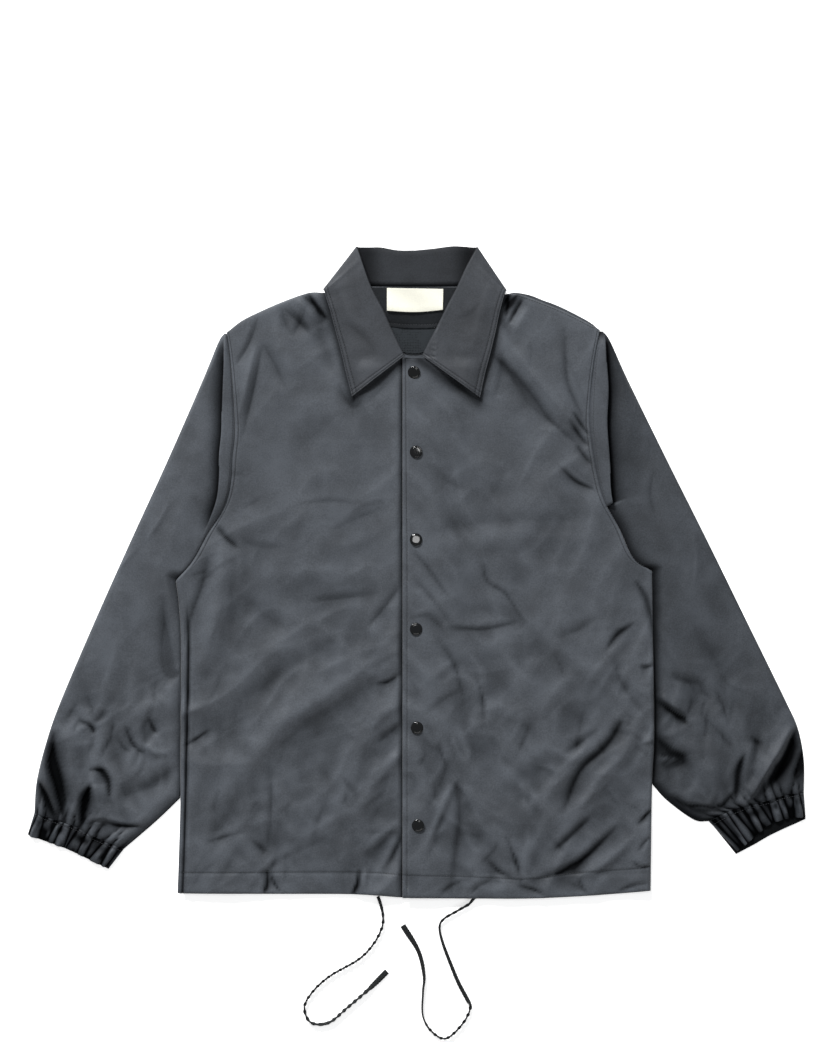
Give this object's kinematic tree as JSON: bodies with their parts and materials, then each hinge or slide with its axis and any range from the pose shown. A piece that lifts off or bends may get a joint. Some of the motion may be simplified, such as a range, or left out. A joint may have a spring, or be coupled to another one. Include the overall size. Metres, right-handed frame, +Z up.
{
  "type": "coach jacket",
  "caption": "Snap-front coach jacket with a turned collar, gathered cuffs and a hem drawcord, lying flat with its front up.",
  "frame": {"origin": "on the surface it lies on, under the middle of its outline without the cord ends", "axes": "+X towards the wearer's left sleeve, +Y from hem to collar, +Z up from the surface"},
  "size_m": [0.933, 0.9524, 0.0119],
  "materials": {
    "shell": "matte coated nylon",
    "collar": "matte coated nylon",
    "lining": "open polyester mesh",
    "label": "woven satin, bare",
    "snap": "gloss enamel",
    "cord": "flat polyester braid"
  },
  "bodies": {
    "root": {"back": "shell", "front_right": "shell", "front_left": "shell", "sleeve_right": "shell", "sleeve_left": "shell", "cuff_right": "shell", "cuff_left": "shell", "collar": "collar", "neck_facing": "collar", "mesh_lining": "lining", "label": "label", "snap_1": "snap", "snap_2": "snap", "snap_3": "snap", "snap_4": "snap", "snap_5": "snap", "snap_6": "snap", "cord_right": "cord", "cord_left": "cord"}
  },
  "joints": []
}
